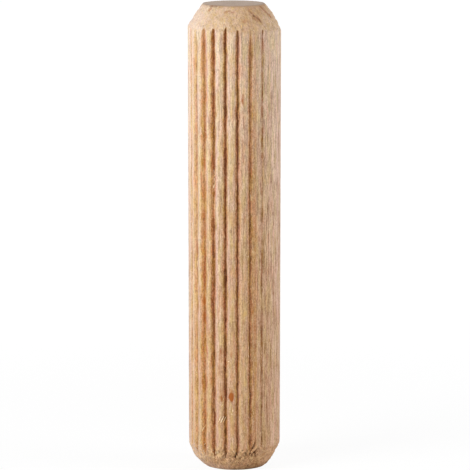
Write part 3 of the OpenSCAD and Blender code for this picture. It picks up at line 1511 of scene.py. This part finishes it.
    def station(self, fibre: Fibre, along: float) -> tuple[float, float, float]:
        """Gives the middle of a laid fibre at one place along it.

        Args:
            fibre: The fibre.
            along: The place, from 0 at its root to 1 at its tip.

        Returns:
            Its angle about the pin, its height and its distance from the axis.
        """
        lean = math.radians(fibre.lean)
        aside = fibre.curl * along * along
        right = fibre.length * along * math.sin(lean) + aside * math.cos(lean)
        up = fibre.length * along * math.cos(lean) - aside * math.sin(lean)
        height = min(max(fibre.height + up, self.end_gap), self.pin.length - self.end_gap)
        angle = fibre.angle + math.degrees(right / self.pin.rollers.pin_r)
        radius = self.radius_at(angle, height) + fibre.lift * along * along
        return angle, height, radius - self.sunk * fibre.half_width * (1.0 - along)

    def lay(self, verts: list[bmesh.types.BMVert], fibre: Fibre) -> None:
        """Bends a straight fibre so that it follows the wood.

        Args:
            verts: The straight fibre's vertices.
            fibre: The fibre that it becomes.
        """
        lean = math.radians(fibre.lean)
        stations: dict[float, tuple[float, float, float]] = {}
        for vert in verts:
            along = round(vert.co.z + 0.5, 3)
            if along not in stations:
                stations[along] = self.station(fibre, along)
            angle, height, radius = stations[along]
            wide = vert.co.x * fibre.half_width
            out = vert.co.y * fibre.half_width * self.thickness
            turn = math.radians(angle)
            sideways = Vector((math.cos(turn), math.sin(turn), 0.0)) * math.cos(lean) * wide
            outwards = Vector((math.sin(turn), -math.cos(turn), 0.0))
            upwards = Vector((0.0, 0.0, -math.sin(lean) * wide + height))
            vert.co = outwards * (radius + out) + sideways + upwards

    def build(self) -> bpy.types.Object:
        """Builds all the fibres as one piece.

        Returns:
            The fibres' object.
        """
        shape = bmesh.new()
        straight = self.straight()
        fibres = [*self.single, *self.scattered()]
        for fibre in fibres:
            before = len(shape.verts)
            shape.from_mesh(straight)
            shape.verts.ensure_lookup_table()
            self.lay(shape.verts[before:], fibre)
        bpy.data.meshes.remove(straight)
        bmesh.ops.recalc_face_normals(shape, faces=shape.faces)
        log.info("loose fibres: %d, with %d faces", len(fibres), len(shape.faces))
        return mesh_object("loose_fibres", shape)


# ---------------------------------------------------------------- finishes


class Grain:
    """The patterns of the wood that its colour and its relief share.

    Attributes:
        sketch: The material's sketch.
        place: Place in millimetres, turned so that x follows the growth rings outwards.
        outwards: Distance along that x.
        around: Distance across that x, rising towards the pin's right side.
        height: Height above the floor.
        streak: Long soft streaks.
        fibre: Short thin fibres.
        fleck: Flecks a few times as long as they are wide.
        crumb: Crumbs of torn grain, as wide as they are high.
        pale: How pale the wood is, from 0 to 1.
        dash: Ends of rays and open pores.
        speck: The finest specks.
        hue: Long patches that turn from straw to rose.
        flush: Fewer and shorter patches of salmon.
        stain, cut, scarred, amber, lip, crest: What is painted on the pin, as Skin says.
    """

    def __init__(self, sketch: Sketch, radial_angle: float) -> None:
        """Lays the patterns out.

        Args:
            sketch: The material's sketch.
            radial_angle: Direction about the pin in which the growth rings follow each other.
        """
        self.sketch = sketch
        self.place = place = sketch.turned(sketch.place(), (0.0, 0.0, 90.0 - radial_angle))
        self.outwards, self.around, self.height = sketch.axes(place)
        self.streak = sketch.noise(place, (0.13, 0.13, 3.4), 3.0, 0.6)
        self.fibre = sketch.noise(place, (0.1, 0.1, 1.2), 2.0, 0.6)
        self.fleck = sketch.noise(place, (0.12, 0.12, 0.36), 1.0, 0.5)
        self.crumb = sketch.noise(place, (0.12, 0.12, 0.13), 2.0, 0.6)
        shade = self.streak * 0.42 + self.fleck * 0.28 + self.fibre * 0.2 + self.crumb * 0.1
        self.pale = shade.step(0.41, 0.59)
        self.dash = sketch.noise(place, (0.085, 0.085, 2.4), 1.0, 0.5)
        self.speck = sketch.noise(place, (0.08, 0.08, 0.15), 1.0, 0.5)
        self.hue = sketch.noise(place, (0.34, 0.34, 2.0), 1.0, 0.5)
        self.flush = sketch.noise(place, (0.27, 0.27, 1.5), 1.0, 0.5)
        self.stain, self.cut, self.scarred, self.amber, self.lip, self.crest = (
            sketch.painted(name) for name in Skin.PAINTED
        )


@dataclass(frozen=True)
class BeechFinish:
    """Raw beech, with growth rings, rays, browned flutes, torn bevels and grey end grain.

    Attributes:
        length: Length of the pin.
        torn_lean: How far the torn grain on the bevels leans to the right at the front.
        radial_angle: Direction about the pin in which the growth rings follow each other.
        ring_step: Distance from one growth ring to the next.
        ring_start: Where one of the rings ends, along that direction.
        roughness: Roughness of the wood.
        gloss: Specular level of the wood.
        cream: The side's pale wood.
        tan: The side's darker wood.
        rose_tint: Tint of the rosy patches.
        straw_tint: Tint of the straw patches.
        salmon_tint: Tint of the salmon patches.
        flank_tint: Shade on the flank past each flute.
        painted_light_pale: Painted light and sheen: paler wood on the left and towards the head.
        late_wood: Dark end of each growth ring.
        brown: Fibres, rays and pores; painted shade on the foot's rim at the right.
        warm_tan: Warmer wood on the right.
        ochre_lip: Ochre for painted shade on the shoulder just before a flute, and for the darker
            crests right of the front.
        shaded_shoulder_rose: The same painted shade towards the right.
        blush_and_sheen: Rosy wood on the smooth strip; a painted sheen at the left edge.
        lit_shoulder_pink: Painted light on the shoulder just past a flute, which faces the lamp.
        lit_shoulder_peach: The same painted light towards the right.
        lit_edge_highlight: Painted highlight on the sharp edge past the flutes on the right.
        crest_straw: Straw wood on the crests; at the head, also the colour of the painted
            highlights on the torn tufts.
        wall_brown: Browned wall of a flute.
        wall_pale: Paler places on it.
        wall_rose: Rosy wall just past a flute's bottom.
        root_ochre: Bottom of the flutes on the left.
        root_brown: Bottom of a flute.
        root_dark: Dark places on a flute's bottom; on the bevels, painted shade in the gaps between
            the tufts.
        cut_tan: Cut grain on the bevels.
        cut_brown: Crumbled places there, and a browner band from the front round to the right.
        cut_pink: Pink places there; painted light on the foot's rim at the left.
        cut_straw: Straw places there.
        torn_highlight: Painted highlight on the tips of the torn grain.
        foot_brown_and_shade: Browner wood towards the foot and on its bevel: a browner tone, and
            painted shade where less light reaches.
        amber: Resin.
        dark: Dark specks, and painted shade in scars and pits.
        faded: Faint brown of the last flute on the right.
        grey: End grain of the flats.
    """

    length: float
    torn_lean: float
    radial_angle: float = 75.0
    ring_step: float = 0.96
    ring_start: float = 0.8
    roughness: float = 0.65
    gloss: float = 0.2
    cream: Paint = colour(240, 213, 182)
    tan: Paint = colour(198, 166, 135)
    rose_tint: Paint = colour(255, 241, 250)
    straw_tint: Paint = colour(250, 253, 216)
    salmon_tint: Paint = colour(255, 236, 224)
    flank_tint: Paint = colour(242, 240, 238)
    painted_light_pale: Paint = colour(240, 226, 210)
    late_wood: Paint = colour(196, 142, 88)
    brown: Paint = colour(150, 112, 80)
    warm_tan: Paint = colour(194, 144, 104)
    ochre_lip: Paint = colour(216, 168, 108)
    shaded_shoulder_rose: Paint = colour(204, 150, 118)
    blush_and_sheen: Paint = colour(234, 207, 197)
    lit_shoulder_pink: Paint = colour(223, 195, 184)
    lit_shoulder_peach: Paint = colour(232, 192, 152)
    lit_edge_highlight: Paint = colour(255, 222, 182)
    crest_straw: Paint = colour(234, 202, 134)
    wall_brown: Paint = colour(180, 131, 82)
    wall_pale: Paint = colour(218, 174, 120)
    wall_rose: Paint = colour(208, 170, 144)
    root_ochre: Paint = colour(198, 136, 68)
    root_brown: Paint = colour(194, 134, 82)
    root_dark: Paint = colour(122, 76, 42)
    cut_tan: Paint = colour(209, 181, 153)
    cut_brown: Paint = colour(178, 126, 78)
    cut_pink: Paint = colour(232, 198, 176)
    cut_straw: Paint = colour(208, 168, 116)
    torn_highlight: Paint = colour(240, 200, 150)
    foot_brown_and_shade: Paint = colour(196, 141, 90)
    amber: Paint = colour(166, 84, 12)
    dark: Paint = colour(96, 54, 24)
    faded: Paint = colour(158, 119, 88)
    grey: Paint = colour(169, 144, 124)

    def side_colour(self, grain: Grain) -> bpy.types.NodeSocket:
        """Colours the long grain along the side, with painted light and shade on it.

        Args:
            grain: The patterns of the wood.

        Returns:
            The colour's socket.
        """
        sketch, lip, crest = grain.sketch, grain.lip, grain.crest
        outwards, around, height = grain.outwards, grain.around, grain.height
        line = sketch.noise(grain.place, (0.12, 0.12, 8.0), 2.0, 0.6)
        broad = sketch.noise(grain.place, (0.7, 0.7, 12.0), 2.0, 0.5)
        pore = sketch.noise(grain.place, (0.075, 0.075, 0.55), 1.0, 0.5)
        strip = outwards.step(2.4, 3.2)
        pale = grain.pale + (line.step(0.35, 0.65) - 0.5) * strip
        even = crest * outwards.band(-1.2, -0.5, 0.1, 0.9)
        brighter = around.step(-1.6, -1.95) * 0.35 + around.band(-2.55, -2.35, -1.9, -1.7) * 0.25
        brighter = brighter + around.band(-1.5, -1.3, -1.0, -0.8) * 0.35
        # Darker, yellower middles of the crests right of the front.
        darker_crest = crest * outwards.band(0.2, 0.6, 2.2, 2.6)
        shoulder = sketch.mix(self.ochre_lip, self.shaded_shoulder_rose, outwards.step(-0.5, 1.0))
        rolled = sketch.mix(self.lit_shoulder_pink, self.lit_shoulder_peach, outwards.step(0.3, 1.3))
        wavy = outwards - self.ring_start + (broad - 0.5) * 0.3
        ring = (wavy / self.ring_step).fraction().band(0.62, 0.82, 0.96, 1.0)
        late = ring * grain.fibre.step(0.2, 0.45) * outwards.band(1.4, 2.4, 2.9, 3.2)
        past_flute = lip.step(-0.3, -0.9)
        plain = (1.0 - crest * 0.7) * (1.0 - past_flute * 0.5)
        spared = outwards.band(-1.1, -0.85, -0.3, 0.0)
        shaded = past_flute * (0.6 + outwards.step(-0.95, -1.2) * 0.4 - spared * 0.55)
        return sketch.coats(
            self.tan,
            (self.cream, pale.step(0.0, 1.0)),
            (self.tan, broad.step(0.45, 0.65) * (0.35 - even * 0.25)),
            # Paler towards the left: painted light and sheen on the lamp side.
            (self.painted_light_pale, outwards.step(-1.0, -3.4) * 0.78),
            # A rosy pale edge on the left: painted sheen.
            (self.blush_and_sheen, outwards.step(-2.4, -3.4) * 0.34),
            (self.blush_and_sheen, around.step(-2.8, -0.4) * strip * 0.4),
            (self.cream, brighter * strip),
            (self.warm_tan, outwards.band(1.6, 2.2, 3.4, 3.8) * 0.35),
            (self.crest_straw, crest * (outwards.step(-3.4, -1.6) * 0.6 + 0.05)),
            (self.ochre_lip, darker_crest * 0.35),
            # Painted shade on the shoulder before each flute, which turns from the lamp.
            (shoulder, lip.step(0.2, 1.0) * 0.5),
            # Painted light on the shoulder past each flute, which faces the lamp.
            (rolled, lip.step(-0.4, -1.0) * 0.65),
            # Painted highlight on the edge past each flute on the right.
            (self.lit_edge_highlight, lip.step(-0.7, -0.95) * outwards.step(0.2, 1.4) * 0.8),
            (self.late_wood, late * 0.8),
            (self.brown, grain.fibre.step(0.51, 0.64) * 0.6 * plain),
            (self.brown, grain.dash.step(0.54, 0.61) * (strip * 0.4 + 0.6) * plain),
            (self.brown, pore.step(0.6, 0.7) * (outwards.step(1.2, 2.6) * 0.6 + 0.12)),
            (self.cream, grain.fleck.step(0.52, 0.68) * 0.14),
            (self.flank_tint, shaded, Blend.TINT),
            # Paler towards the head: painted light from above.
            (self.painted_light_pale, height.step(self.length * 0.4, self.length) * 0.2),
            # Browner towards the foot: a browner tone, and painted shade where less light reaches.
            (self.foot_brown_and_shade, height.step(self.length, 0.0) * 0.33),
        )

    def cut_colour(self, grain: Grain) -> bpy.types.NodeSocket:
        """Colours the torn grain of the bevels, with painted highlights and shade on it.

        Args:
            grain: The patterns of the wood.

        Returns:
            The colour's socket.
        """
        sketch, crumb = grain.sketch, grain.crumb
        outwards, height = grain.outwards, grain.height
        leaning = sketch.turned(grain.place, (0.0, self.torn_lean, 0.0))
        patchy = sketch.noise(leaning, (0.4, 0.4, 0.6), 2.0, 0.6)
        tuft = sketch.noise(leaning, (0.16, 0.2, 0.42), 2.0, 0.6)
        chip = sketch.noise(leaning, (0.12, 0.15, 0.26), 1.0, 0.5)
        low = height.step(self.length, 0.0)
        rim = height.step(0.75, 0.3)
        # The lit left of the bevels, paler and less brown there: painted light.
        lit_left = outwards.step(-0.6, -3.0)
        spared = outwards.step(2.4, 3.0)
        rough = low * height.step(0.2, 1.1) * (1.0 - spared * 0.7)
        # Where the chips' painted shade and highlights are strongest: low down, less on the right.
        worn = low * (1.0 - spared * 0.6)
        tuft_highlight = sketch.mix(self.crest_straw, self.torn_highlight, low)
        return sketch.coats(
            self.cut_tan,
            (self.cream, crumb.step(0.48, 0.64) * 0.5),
            (self.cut_pink, patchy.step(0.5, 0.62) * 0.6),
            (self.cut_straw, patchy.step(0.5, 0.38) * 0.6),
            (self.painted_light_pale, lit_left * 0.6),
            # Paler and rosier at the bevels' left edge: painted sheen.
            (self.blush_and_sheen, outwards.step(-1.4, -3.0) * 0.5),
            (self.cut_brown, outwards.band(-0.5, 2.2, 2.4, 3.6) * (0.4 + low * 0.2)),
            (self.cut_brown, crumb.step(0.48, 0.34) * 0.45),
            # Browner on the foot's bevel, less on its lit left: a browner tone and painted shade.
            (self.foot_brown_and_shade, low * (0.58 - lit_left * 0.48)),
            # Painted shade in the gaps of the torn grain, and painted highlights on its tufts and
            # chips.
            (self.root_dark, tuft.step(0.47, 0.36) * (rough * 0.16 + 0.2)),
            (self.root_dark, chip.step(0.44, 0.34) * (worn * 0.42 + 0.06)),
            (self.torn_highlight, chip.step(0.54, 0.64) * (worn * 0.55 + 0.06)),
            (tuft_highlight, tuft.step(0.5, 0.62) * (rough * 0.72 + 0.28)),
            # The foot's rim: painted light on the left and painted shade on the right.
            (self.cut_pink, rim * outwards.step(1.0, -0.8) * 0.5),
            (self.brown, rim * outwards.step(0.2, 1.4) * 0.4),
            (self.wall_rose, spared * low * 0.12),
        )

    def flute_coats(self, grain: Grain) -> list[tuple[object, ...]]:
        """Gives the brown coats of the flutes' walls and bottoms.

        Args:
            grain: The patterns of the wood.

        Returns:
            The coats, in the order in which they lie.
        """
        sketch = grain.sketch
        stain = grain.stain * (grain.fleck * 1.4 + grain.crumb * 1.2 - 0.3)
        faded = grain.outwards.step(2.6, 3.1)
        wall = sketch.coats(
            self.wall_brown,
            (self.wall_pale, grain.pale),
            (self.faded, faded * 0.6),
            (self.wall_rose, grain.lip.step(0.0, -0.6) * 0.7),
        )
        root = sketch.coats(
            self.root_dark,
            (self.root_brown, grain.pale),
            (self.root_ochre, grain.outwards.step(-0.4, -1.7) * 0.66),
            (self.faded, faded * 0.8),
            (self.wall_rose, grain.lip.step(-0.2, -0.9) * 0.25),
        )
        return [
            (wall, stain.step(0.0, 0.5) * 0.9),
            (root, stain.step(0.45, 1.0) * 0.92),
            (self.root_dark, grain.fleck.step(0.47, 0.34) * grain.stain * 0.5),
            (self.wall_pale, grain.fleck.step(0.54, 0.68) * grain.stain * 0.3),
        ]

    def tint_coats(self, grain: Grain) -> list[tuple[object, ...]]:
        """Gives the coats of the long tinted patches and the finest specks.

        Args:
            grain: The patterns of the wood.

        Returns:
            The coats, in the order in which they lie.
        """
        tint = (grain.stain * 0.5 + 0.5) * (1.0 - grain.cut * 0.6)
        smoother = grain.crest * grain.outwards.step(-1.6, -0.4)
        fine = 0.26 - grain.cut * 0.1 - smoother * 0.14
        return [
            (self.rose_tint, grain.hue.step(0.5, 0.62) * tint, Blend.TINT),
            (self.straw_tint, grain.hue.step(0.5, 0.38) * tint, Blend.TINT),
            (self.salmon_tint, grain.flush.step(0.54, 0.66) * tint, Blend.TINT),
            (self.dark, grain.speck.step(0.48, 0.32) * (fine + grain.stain * 0.14)),
            (self.cream, grain.speck.step(0.52, 0.68) * (fine - grain.stain * 0.1)),
        ]

    def mark_coats(self, grain: Grain) -> list[tuple[object, ...]]:
        """Gives the coats of the resin, the painted shade in the scars, the head's rim and the grey
        end grain.

        Args:
            grain: The patterns of the wood.

        Returns:
            The coats, in the order in which they lie.
        """
        resin = grain.amber + (grain.fibre - 0.5) * 0.8 * grain.amber.step(0.0, 0.3)
        from_end = self.length / 2 - (grain.height - self.length / 2).size()
        head_rim = from_end.step(0.17, 0.08) * grain.height.step(1.0, 2.0)
        return [
            (self.amber, resin.step(0.05, 0.7) * 0.9),
            # Painted shade in the scars and pits.
            (self.dark, grain.scarred * 0.65),
            (self.brown, head_rim * 0.3),
            (self.grey, from_end.step(0.05, 0.02) * 0.9),
        ]

    def material(self) -> bpy.types.Material:
        """Builds the finish.

        Returns:
            The material.
        """
        sketch = Sketch(bpy.data.materials.new("raw_beech"))
        grain = Grain(sketch, self.radial_angle)
        base = sketch.coats(
            self.side_colour(grain),
            (self.cut_colour(grain), grain.cut * 0.85),
            *self.flute_coats(grain),
            *self.tint_coats(grain),
            *self.mark_coats(grain),
        )
        relief = grain.streak * 0.03 + grain.fibre * 0.04 + grain.fleck * 0.03
        relief = relief * (1.0 - grain.crest * 0.35) + grain.crumb * grain.cut * 0.05
        bump = sketch.node(
            "ShaderNodeBump", None, {"Strength": 1.0, "Distance": MM, "Height": relief}
        )
        finer = {"Normal": bump.outputs[0], "Specular IOR Level": self.gloss}
        return sketch.surface(base, self.roughness, finer)


@dataclass(frozen=True)
class FibreFinish:
    """Pale loose fibres.

    Attributes:
        pale: Colour of most of a fibre.
        warm: Colour of its darker stretches.
        low_right_brown: Browner colour of the fibres low on the right, by the foot.
        roughness: Roughness of the fibres.
    """

    pale: Paint = colour(255, 234, 194)
    warm: Paint = colour(234, 194, 130)
    low_right_brown: Paint = colour(226, 174, 126)
    roughness: float = 0.6

    def material(self) -> bpy.types.Material:
        """Builds the finish.

        Returns:
            The material.
        """
        sketch = Sketch(bpy.data.materials.new("loose_fibre"))
        place = sketch.place()
        right, _, height = sketch.axes(place)
        base = sketch.coats(
            self.pale,
            (self.warm, sketch.noise(place, (0.3, 0.3, 0.3)).step(0.4, 0.62)),
            (self.low_right_brown, right.step(-1.4, 0.2) * height.step(4.0, 2.4) * 0.75),
        )
        return sketch.surface(base, self.roughness)


@dataclass(frozen=True)
class FloorFinish:
    """A plain floor that looks white but keeps the pin's shadow.

    Attributes:
        tone: Colour of the floor as the pin sees it.
        glow: Strength of the plain white that it shows.
        near: Distance from the pin, in metres, within which its own light and shade show.
        far: Distance, in metres, beyond which it shows plain white.
        shade: How much of its own light and shade it shows near the pin.
    """

    tone: Paint = colour(226, 226, 226)
    glow: float = 1.02
    near: float = 0.02
    far: float = 0.1
    shade: float = 0.1

    def material(self) -> bpy.types.Material:
        """Builds the finish.

        Returns:
            The material.
        """
        sketch = Sketch(bpy.data.materials.new("studio_floor"))
        matt = sketch.node("ShaderNodeBsdfDiffuse", None, {"Color": self.tone})
        lit = {"Color": WHITE, "Strength": self.glow}
        white = sketch.node("ShaderNodeEmission", None, lit)
        place = sketch.node("ShaderNodeTexCoord").outputs["Object"]
        away = sketch.field("ShaderNodeVectorMath", {"operation": "LENGTH"}, [place], "Value")
        plain = 1.0 - away.step(self.far, self.near) * self.shade
        return sketch.finish(sketch.blend(sketch.seen() * plain, matt, white))


# ---------------------------------------------------------------- the studio


@dataclass(frozen=True)
class Lamp:
    """A square lamp that faces the pin's middle.

    Attributes:
        name: Name of the lamp.
        azimuth: Direction from the pin, from its front towards its right, in degrees.
        elevation: Height above the horizon, in degrees.
        distance: From the pin's middle, in metres.
        size: Side of the lamp, in metres.
        power: Power in watts.
    """

    name: str
    azimuth: float
    elevation: float
    distance: float
    size: float
    power: float

    def hang(self, middle: Vector) -> bpy.types.Object:
        """Hangs the lamp.

        Args:
            middle: The point that it faces.

        Returns:
            The lamp's object.
        """
        data = bpy.data.lights.new(self.name, "AREA")
        data.shape = "SQUARE"
        data.size = self.size
        data.energy = self.power
        around, up = math.radians(self.azimuth), math.radians(self.elevation)
        level = Vector((math.sin(around), -math.cos(around), 0.0))
        away = level * math.cos(up) + Vector((0.0, 0.0, math.sin(up)))
        lamp = bpy.data.objects.new(self.name, data)
        lamp.location = middle + away * self.distance
        lamp.rotation_euler = away.to_track_quat("Z", "Y").to_euler()
        bpy.context.scene.collection.objects.link(lamp)
        return lamp


@dataclass
class Studio:
    """Floor, lamps, surroundings and camera.

    Attributes:
        middle: Height of the pin's middle, in metres.
        floor_half: Half the width of the floor, in millimetres.
        lamps: The lamps.
        room: Strength of the even light from the surroundings.
        backdrop: Strength of the white that the camera sees behind the pin.
        camera_distance: From the camera to the pin's middle, in metres.
        camera_pitch: How far the camera looks down, in degrees.
        focal_pixels: Focal length in pixels of the picture.
        picture: Width and height of the picture in pixels.
        pin_pixel: Where the pin's middle lies in the picture.
        sensor: Width of the camera's sensor, in millimetres.
        sight: Nearest and farthest distance that the camera sees, in metres.
    """

    middle: float
    floor_half: float = 1500.0
    lamps: tuple[Lamp, ...] = (
        Lamp("key", azimuth=-52.0, elevation=27.0, distance=0.13, size=0.07, power=0.158),
        Lamp("fill", azimuth=80.0, elevation=24.0, distance=0.12, size=0.07, power=0.089),
        Lamp("back", azimuth=180.0, elevation=20.0, distance=0.2, size=0.15, power=0.2),
    )
    room: float = 0.2
    backdrop: float = 1.0
    camera_distance: float = 0.341
    camera_pitch: float = 8.7
    focal_pixels: float = 3970.0
    picture: int = 470
    pin_pixel: tuple[float, float] = (234.42, 235.4)
    sensor: float = 36.0
    sight: tuple[float, float] = (0.01, 20.0)

    def lay_floor(self) -> bpy.types.Object:
        """Lays the floor.

        Returns:
            The floor's object.
        """
        shape = bmesh.new()
        bmesh.ops.create_grid(shape, x_segments=2, y_segments=2, size=self.floor_half)
        floor = mesh_object("floor", shape)
        floor.data.materials.append(FloorFinish().material())
        return floor

    def light(self) -> None:
        """Sets the even surroundings and hangs the lamps."""
        sketch = Sketch(bpy.data.worlds.new("studio"))
        room, backdrop = (
            sketch.node("ShaderNodeBackground", None, {"Color": WHITE, "Strength": strength})
            for strength in (self.room, self.backdrop)
        )
        bpy.context.scene.world = sketch.finish(sketch.blend(sketch.seen(), room, backdrop))
        for lamp in self.lamps:
            lamp.hang(Vector((0.0, 0.0, self.middle)))

    def set_camera(self) -> bpy.types.Object:
        """Sets the camera in front of the pin, looking a little down.

        Returns:
            The camera's object.
        """
        data = bpy.data.cameras.new("camera")
        data.sensor_width = self.sensor
        data.lens = self.focal_pixels * self.sensor / self.picture
        data.shift_x = (self.picture / 2 - self.pin_pixel[0]) / self.picture
        data.shift_y = (self.pin_pixel[1] - self.picture / 2) / self.picture
        data.clip_start, data.clip_end = self.sight
        pitch = math.radians(self.camera_pitch)
        camera = bpy.data.objects.new("camera", data)
        camera.location = (
            0.0,
            -self.camera_distance * math.cos(pitch),
            self.middle + self.camera_distance * math.sin(pitch),
        )
        camera.rotation_euler = (math.pi / 2 - pitch, 0.0, 0.0)
        bpy.context.scene.collection.objects.link(camera)
        bpy.context.scene.camera = camera
        return camera


def dress(piece: bpy.types.Object, finish: BeechFinish | FibreFinish) -> None:
    """Gives a piece its finish and its body.

    Args:
        piece: The finished piece.
        finish: The finish that it gets.
    """
    piece.data.materials.append(finish.material())
    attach(piece, BODY)


def main() -> None:
    """Builds the pin and its studio, and reports each piece."""
    logging.basicConfig(level=logging.INFO, format="%(name)s: %(message)s")
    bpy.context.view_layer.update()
    low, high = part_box(NODE)
    pin_r = round((high.x - low.x) / 2 / MM, 2)
    length = round((high.z - low.z) / MM, 2)

    pin = PinBody(length, FlutingRollers(pin_r))
    body = pin.build()
    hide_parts(NODE)
    dress(body, BeechFinish(length, pin.torn_lean))
    log.info("pin: %.1f mm across, %.1f mm long", 2 * pin_r, length)

    dress(LooseFibres(pin).build(), FibreFinish())
    log.info("loose fibres: along the bevels and the flutes")

    studio = Studio((low.z + high.z) / 2)
    studio.lay_floor()
    studio.light()
    studio.set_camera()
    bpy.context.scene.view_settings.view_transform = "Standard"
    log.info("studio: floor, lamps, surroundings and camera")


if __name__ == "__main__":
    main()
